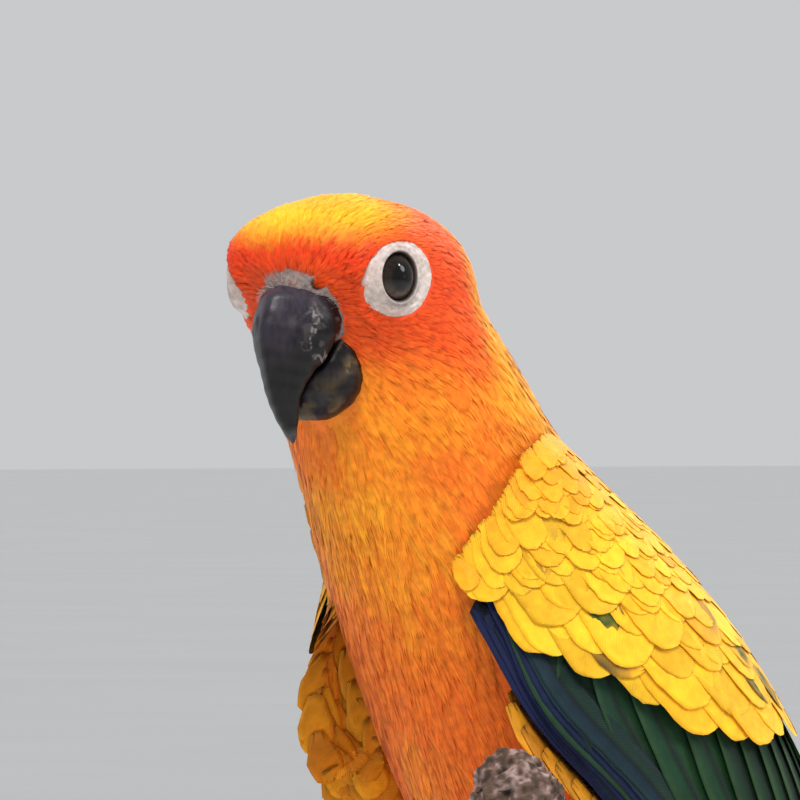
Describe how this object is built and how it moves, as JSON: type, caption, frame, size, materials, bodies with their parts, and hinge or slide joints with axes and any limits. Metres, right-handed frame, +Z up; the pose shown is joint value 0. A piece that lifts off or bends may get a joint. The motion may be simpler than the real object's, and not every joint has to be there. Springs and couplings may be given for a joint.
{
  "type": "sun conure",
  "caption": "Life-size sun conure gripping a cut branch with a broken side stub, on two rods and a round base.",
  "frame": {"origin": "centre of the underside of the display stand's round base", "axes": "+Z up, the bird's body faces -Y, its left side is +X"},
  "size_m": [0.128, 0.1649, 0.2572],
  "materials": {
    "plumage": "soft contour feathers, orange and yellow",
    "wing_feathers": "yellow coverts over dark green and blue flight feathers",
    "tail_feathers": "olive green tail feathers with blue tips",
    "bill": "black horn with a soft gloss and fine scuffs",
    "bare_skin": "pale bare skin with fine wrinkles",
    "eye": "wet dark eye with a clear surface",
    "foot_scales": "grey scaled skin with dark claws",
    "bark": "rough grey brown bark with snapped ends",
    "base_wood": "dark stained turned wood, satin",
    "rod_metal": "dark satin metal"
  },
  "bodies": {
    "root": {"head": "plumage", "neck": "plumage", "breast": "plumage", "belly": "plumage", "mantle": "plumage", "rump": "plumage", "thigh_left": "plumage", "thigh_right": "plumage", "wing_left": "wing_feathers", "wing_right": "wing_feathers", "tail": "tail_feathers", "bill_upper": "bill", "bill_lower": "bill", "cere": "bare_skin", "eye_ring_left": "bare_skin", "eye_ring_right": "bare_skin", "eye_left": "eye", "eye_right": "eye", "foot_left": "foot_scales", "foot_right": "foot_scales", "perch_limb": "bark", "perch_stub": "bark", "stand_base": "base_wood", "stand_rod_left": "rod_metal", "stand_rod_right": "rod_metal"}
  },
  "joints": []
}
